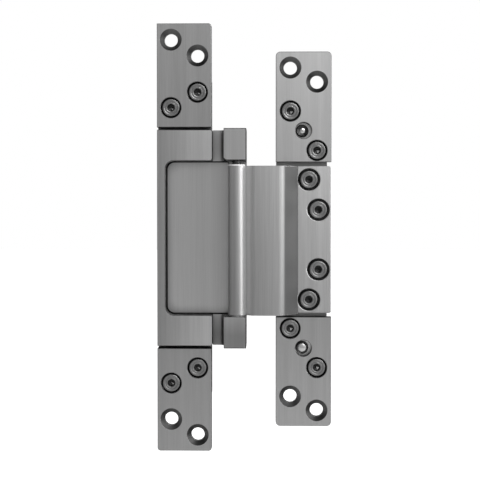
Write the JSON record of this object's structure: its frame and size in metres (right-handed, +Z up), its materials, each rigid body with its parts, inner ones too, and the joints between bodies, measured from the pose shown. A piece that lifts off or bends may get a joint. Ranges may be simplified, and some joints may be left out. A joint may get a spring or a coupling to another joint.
{
  "type": "concealed door hinge",
  "caption": "Adjustable hinge for a flush door: slim knuckle, swan-necked arm that folds into a C-shaped jamb housing, and morticed end plates",
  "frame": {"origin": "on the knuckle's axis, halfway between the two ears", "axes": "+Z up along the knuckle's axis, +X to the door side, +Y into the mortices, away from the faces, with the hinge opened flat"},
  "size_m": [0.1016, 0.027, 0.2496],
  "materials": {
    "satin_stainless": "satin, brushed along the height",
    "milled_steel": "plain milled",
    "screw_steel": "turned, slightly dark",
    "bright_steel": "bright plated",
    "ground_steel": "ground",
    "bearing_bronze": "plain bearing bronze",
    "washer_polymer": "white low-friction plastic"
  },
  "bodies": {
    "jamb_plates": {"jamb_end_plate_upper": "satin_stainless", "jamb_end_plate_lower": "satin_stainless"},
    "jamb_unit": {"jamb_housing": "satin_stainless", "knuckle_leaf": "satin_stainless", "hinge_pin": "ground_steel", "pin_lock_screw_upper": "screw_steel", "pin_lock_screw_lower": "screw_steel", "thrust_washer_lower": "washer_polymer", "jamb_clamp_screw_1": "screw_steel", "jamb_clamp_screw_2": "screw_steel", "jamb_clamp_screw_3": "screw_steel", "jamb_clamp_screw_4": "screw_steel", "leaf_screw_1": "screw_steel", "leaf_screw_2": "screw_steel", "leaf_screw_3": "screw_steel", "leaf_screw_4": "screw_steel"},
    "arm": {"gooseneck_arm": "satin_stainless", "barrel_bush_upper": "bearing_bronze", "barrel_bush_lower": "bearing_bronze", "thrust_washer_upper": "washer_polymer"},
    "carrier": {"door_carrier": "milled_steel", "flange_screw_1": "screw_steel", "flange_screw_2": "screw_steel", "flange_screw_3": "screw_steel", "flange_screw_4": "screw_steel"},
    "door_plates": {"door_end_plate_upper": "satin_stainless", "door_end_plate_lower": "satin_stainless", "door_clamp_screw_1": "screw_steel", "door_clamp_screw_2": "screw_steel", "door_clamp_screw_3": "screw_steel", "door_clamp_screw_4": "screw_steel"},
    "upper_jack": {"depth_jack_upper": "bright_steel"},
    "lower_jack": {"depth_jack_lower": "bright_steel"}
  },
  "joints": [
    {"name": "side_adjustment", "type": "slide", "parent": "jamb_plates", "child": "jamb_unit", "axis": [1, 0, 0], "range_m": [-0.0009, 0.0009]},
    {"name": "swing", "type": "hinge", "parent": "jamb_unit", "child": "arm", "pos_m": [0, 0, 0], "axis": [0, 0, -1], "range_deg": [0, 180]},
    {"name": "height_adjustment", "type": "slide", "parent": "arm", "child": "carrier", "axis": [0, 0, 1], "range_m": [-0.0014, 0.0014]},
    {"name": "depth_adjustment", "type": "slide", "parent": "carrier", "child": "door_plates", "axis": [0, 1, 0], "range_m": [-0.001, 0.001]},
    {"name": "upper_jack_turn", "type": "hinge", "parent": "door_plates", "child": "upper_jack", "pos_m": [0.0382, 0.011, 0.06265], "axis": [0, 1, 0], "range_deg": [-360, 360]},
    {"name": "lower_jack_turn", "type": "hinge", "parent": "door_plates", "child": "lower_jack", "pos_m": [0.0382, 0.011, -0.06435], "axis": [0, 1, 0], "range_deg": [-360, 360]}
  ],
  "couplings": [
    {"joint": "upper_jack_turn", "follows": "depth_adjustment", "rad_per_m": 6283.2},
    {"joint": "lower_jack_turn", "follows": "depth_adjustment", "rad_per_m": 6283.2}
  ]
}
